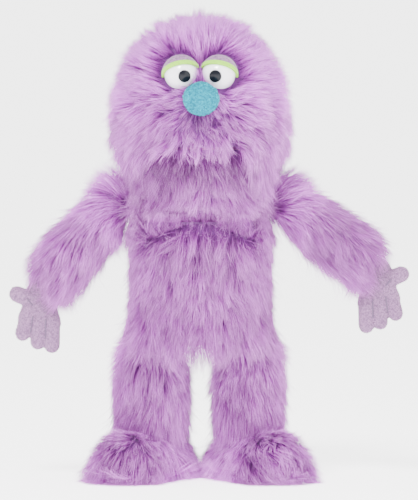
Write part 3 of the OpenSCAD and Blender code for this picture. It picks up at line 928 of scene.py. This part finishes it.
def ellipsoid(name, centre, radii, material, rings=40, segments=64, ripple=0.0):
    rows = []
    angles = np.linspace(0, 2 * math.pi, segments, endpoint=False)
    for t in np.radians(np.linspace(-89, 89, rings)):
        ring = np.stack([np.cos(t) * np.sin(angles) * radii[0], -np.cos(t) * np.cos(angles) * radii[1],
                         np.full(segments, math.sin(t) * radii[2])], axis=1)
        rows.append(ring + centre)
    pts = np.array(rows)
    if ripple:
        flat = pts.reshape(-1, 3)
        flat += unit(flat - centre) * (waves(flat, 16 * mm)[:, :1]) * ripple
    return gridSurface(name, pts, material, closeU=True, caps=True)


noseShape = {
    "radii": (13.2 * mm, 13 * mm, 12.2 * mm),
    "aside": 0.8 * mm,
    "ripple": 0.3 * mm,
    "pile": 2.1 * mm,
}
nose = ellipsoid("noseBall", noseC + np.array([noseShape["aside"], 0, 0]), noseShape["radii"], noseMat,
                 ripple=noseShape["ripple"])
fur("noseFuzz", nose, 330, None, noseShape["pile"], "head", material=noseHairMat, slot="fleece_aqua",
    width=0.4 * mm, lift=(1.2, 0.1), locks=(4 * mm, 1.6 * mm), gather=(0.1, 0.5), wave=0.9, jitter=0.6)
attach(nose, "head")
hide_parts("nose_cover")


# a band of a sphere round the eye, between two latitudes, tipped forward and rolled outward
def lidBand(name, centre, out, inner, outer, start, end, material):
    tilt = math.radians(-30)
    roll = math.radians(12) * out
    lats = np.radians(np.linspace(start, end, 12))
    lons = np.radians(np.linspace(-94, 94, 44))
    shell = []
    for lat in lats:
        ring = (math.cos(lat) * np.sin(lons), -math.cos(lat) * np.cos(lons), np.full(44, math.sin(lat)))
        shell.append(np.stack(ring, axis=1))
    shell = np.array(shell)
    ct, st = math.cos(tilt), math.sin(tilt)
    y = shell[..., 1] * ct - shell[..., 2] * st
    z = shell[..., 1] * st + shell[..., 2] * ct
    x = shell[..., 0]
    cr, sr = math.cos(roll), math.sin(roll)
    x, z = x * cr + z * sr, -x * sr + z * cr
    pts = np.stack([x, y, z], axis=-1)
    ob = gridSurface(name, centre + pts * outer, material)
    m = ob.modifiers.new("thickness", "SOLIDIFY")
    m.thickness = outer - inner
    m.offset = -1.0
    m = ob.modifiers.new("soft", "BEVEL")
    m.width = 0.35 * mm
    m.segments = 2
    return ob


# the short nap of fleece
nap = {
    "lift": (1.1, 0.2),
    "locks": (5 * mm, 1.4 * mm),
    "gather": (0.1, 0.3),
    "wave": 0.8,
    "jitter": 0.5,
    "steps": 2,
}

for side, out in (("left", 1), ("right", -1)):
    c = eyeC[side]
    lid = lidBand("lid_" + side, c, out, eyeR + 0.15 * mm, eyeR + 1.7 * mm, 15, 84, fleeceMat)
    fur("lidFuzz_" + side, lid, 380, None, 1.4 * mm, "head", material=fleeceHairMat, slot="fleece_pale",
        width=0.24 * mm, **nap)
    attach(lid, "head")
    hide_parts("eyelid_" + side)
    trim = lidBand("lidTrim_" + side, c, out, eyeR + 0.12 * mm, eyeR + 1.9 * mm, 2, 16, limeMat)
    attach(trim, "head")
    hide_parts("lid_trim_" + side)


# a flattened rod with round ends, in the plane of the mitt
def capsule(bm, a, b, ra, rb, thick):
    rows, cols = 9, 20
    a, b = np.array(a, float), np.array(b, float)
    axis = unit(b - a)
    across = np.array([-axis[1], axis[0]])
    rings = []
    for k in range(rows):
        t = k / (rows - 1)
        if t < 0.3:
            phi = math.pi / 2 * (1 - t / 0.3)
            centre, off = a, -math.sin(phi) * ra
            rad = ra * math.cos(phi)
        elif t > 0.7:
            phi = math.pi / 2 * (t - 0.7) / 0.3
            centre, off = b, math.sin(phi) * rb
            rad = rb * math.cos(phi)
        else:
            f = (t - 0.3) / 0.4
            centre, off = a + (b - a) * f, 0
            rad = ra + (rb - ra) * f
        rad = max(rad, 0.02)
        ring = []
        for j in range(cols):
            ang = 2 * math.pi * j / cols
            p = centre + axis * off + across * math.cos(ang) * rad
            ring.append(bm.verts.new((p[0], math.sin(ang) * rad * thick / max(ra, rb), p[1])))
        rings.append(ring)
    for k in range(rows - 1):
        for j in range(cols):
            i = (j + 1) % cols
            bm.faces.new((rings[k][j], rings[k][i], rings[k + 1][i], rings[k + 1][j]))
    bm.faces.new(rings[0][::-1])
    bm.faces.new(rings[-1])


# millimetres from the wrist: start, end and the radius at each
mittShape = {
    "palm": [((0, 0), (0, -20), 9.5, 14.5), ((-5, -14), (-7, -25), 8, 9.5), ((5, -14), (7, -22), 8, 9.5)],
    "fingers": [((-9.5, -24), (-9.5, -42), 6.2, 6.0), ((0, -24), (1, -39.5), 6.0, 5.8),
                ((9, -21), (12.5, -33), 6.2, 5.8)],
    "thumb": [((6, -8), (17, -3.5), 6.4, 6.2)],
    "seams": [((-4.9, -22), (-4.6, -36)), ((4.8, -20), (6.6, -32)), ((5, -12), (9, -7))],
    "halfThick": 4.2,
}


def curveTube(name, points, radius, material):
    cu = bpy.data.curves.new(name, "CURVE")
    cu.dimensions = "3D"
    cu.bevel_depth = radius
    cu.bevel_resolution = 2
    cu.use_fill_caps = True
    sp = cu.splines.new("POLY")
    sp.points.add(len(points) - 1)
    for q, pt in zip(sp.points, points):
        q.co = (*pt, 1)
    ob = bpy.data.objects.new(name, cu)
    ob.data.materials.append(material)
    bpy.context.scene.collection.objects.link(ob)
    return ob


for side, out in (("left", 1), ("right", -1)):
    wrist = jointPos("wrist_swing_" + side)
    bm = bmesh.new()
    for a, b, ra, rb in mittShape["palm"] + mittShape["fingers"] + mittShape["thumb"]:
        capsule(bm, a, b, ra, rb, mittShape["halfThick"])
    me = bpy.data.meshes.new("mitt_" + side)
    bm.to_mesh(me)
    bm.free()
    me.transform(Matrix.Scale(mm, 4))
    mitt = bpy.data.objects.new("mitt_" + side, me)
    bpy.context.scene.collection.objects.link(mitt)
    m = mitt.modifiers.new("remesh", "REMESH")
    m.mode = "VOXEL"
    m.voxel_size = 0.7 * mm
    m = mitt.modifiers.new("smooth", "SMOOTH")
    m.iterations = 6
    dg = bpy.context.evaluated_depsgraph_get()
    solid = bpy.data.meshes.new_from_object(mitt.evaluated_get(dg))
    mitt.modifiers.clear()
    mitt.data = solid
    co = np.empty(len(solid.vertices) * 3)
    solid.vertices.foreach_get("co", co)
    co = co.reshape(-1, 3)
    co[:, 0] *= out
    # the fingers curl a little towards the body's front
    co[:, 1] -= smoothstep(-10 * mm, -46 * mm, co[:, 2]) * 5 * mm
    co += wrist
    solid.vertices.foreach_set("co", co.ravel())
    if out < 0:
        solid.flip_normals()
    solid.polygons.foreach_set("use_smooth", [True] * len(solid.polygons))
    solid.materials.clear()
    solid.materials.append(fleeceMat)
    fur("mittFuzz_" + side, mitt, 300, None, 2 * mm, "hand_" + side, material=fleeceHairMat,
        slot="fleece_pale", drop=0.6, width=0.34 * mm, **nap)
    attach(mitt, "hand_" + side)
    around = BVHTree.FromObject(mitt, bpy.context.evaluated_depsgraph_get())
    for i, (a, b) in enumerate(mittShape["seams"]):
        for face, way in (("front", 1), ("back", -1)):
            line = []
            for t in np.linspace(0, 1, 9):
                x, z = (np.array(a) * (1 - t) + np.array(b) * t) * mm
                start = Vector((wrist[0] + out * x, wrist[1] - way * 40 * mm, wrist[2] + z))
                hit = around.ray_cast(start, Vector((0, way, 0)))[0]
                if hit is not None:
                    line.append((hit[0], hit[1] - way * 0.35 * mm, hit[2]))
            if len(line) > 2:
                seam = curveTube("mittSeam_" + face + str(i + 1) + "_" + side, line, 0.55 * mm, threadMat)
                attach(seam, "hand_" + side)
    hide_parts("hand_front_" + side, "hand_back_" + side)
print("eyes, nose and hands ready")

# the CAD pieces that stay, by their material
stays = {
    glossWhite: ["eye_left", "eye_right"],
    glossBlack: ["pupil_left", "pupil_right"],
    washerMat: ["eye_washer_left", "eye_washer_right"],
    liningMat: ["torso_lining", "neck_lining", "hand_opening_hem", "finger_pocket",
                "thumb_pocket", "foot_sole_left", "foot_sole_right"],
    redMat: ["palate_lining", "jaw_lining"],
    pinkMat: ["tongue"],
    boardMat: ["palate_board", "jaw_board"],
    foamMat: ["head_padding", "jaw_padding"],
    fillMat: ["nose_filling"] + [w + s for w in ("arm_stuffing_", "leg_stuffing_", "foot_stuffing_")
                                 for s in ("left", "right")],
}
for material, names in stays.items():
    for node in names:
        ob = frame["nodes"][node]
        if ob.material_slots:
            for ms in ob.material_slots:
                ms.link = "OBJECT"
                ms.material = material
        else:
            ob.data.materials.append(material)


def stageFloor():
    rows = []
    for y in (-60, -20, -4, 4, 20, 60):
        rows.append([(x, y, -0.0002) for x in (-60, -20, -4, 4, 20, 60)])
    m, tree, p = principled("paleFloor", 0.9)
    speck = noiseNode(tree, None, 3.0, 2.0)
    pale = mixColour(tree, speck, (0.93, 0.93, 0.93, 1), (0.95, 0.95, 0.95, 1))
    tree.links.new(pale, p.inputs["Base Color"])
    p.inputs["Emission Color"].default_value = (1, 1, 1, 1)
    p.inputs["Emission Strength"].default_value = 3.0
    ob = gridSurface("floor", np.array(rows, float), m)
    ob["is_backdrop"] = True


stageFloor()
print("stage ready")
world = bpy.data.worlds.new("studio")
bpy.context.scene.world = world
world.use_nodes = True
world.node_tree.nodes["Background"].inputs[0].default_value = (1, 1, 1, 1)
world.node_tree.nodes["Background"].inputs[1].default_value = 1.45


def areaLight(name, place, target, size, power):
    light = bpy.data.lights.new(name, "AREA")
    light.shape = "SQUARE"
    light.size = size
    light.energy = power
    ob = bpy.data.objects.new(name, light)
    ob.location = place
    ob.rotation_euler = (Vector(target) - Vector(place)).to_track_quat("-Z", "Y").to_euler()
    bpy.context.scene.collection.objects.link(ob)


areaLight("key", (-0.5, -1.5, 2.0), (0, 0, 0.2), 0.6, 108)
areaLight("fill", (1.2, -1.4, 0.8), (0, 0, 0.2), 1.2, 16)

camera = bpy.data.cameras.new("camera")
camera.sensor_fit = "VERTICAL"
camera.lens = 280
camera.sensor_height = 24
camera.clip_end = 300
cam = bpy.data.objects.new("camera", camera)
bpy.context.scene.collection.objects.link(cam)
bpy.context.scene.camera = cam
viewHeight = 375 * mm
distance = viewHeight / 2 / math.tan(camera.angle_y / 2)
elevation = math.radians(3)
target = Vector((headX + 6.75 * mm, 0, 174 * mm))
cam.location = target + Vector((0, -math.cos(elevation), math.sin(elevation))) * distance
cam.rotation_euler = (target - cam.location).to_track_quat("-Z", "Y").to_euler()

low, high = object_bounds()
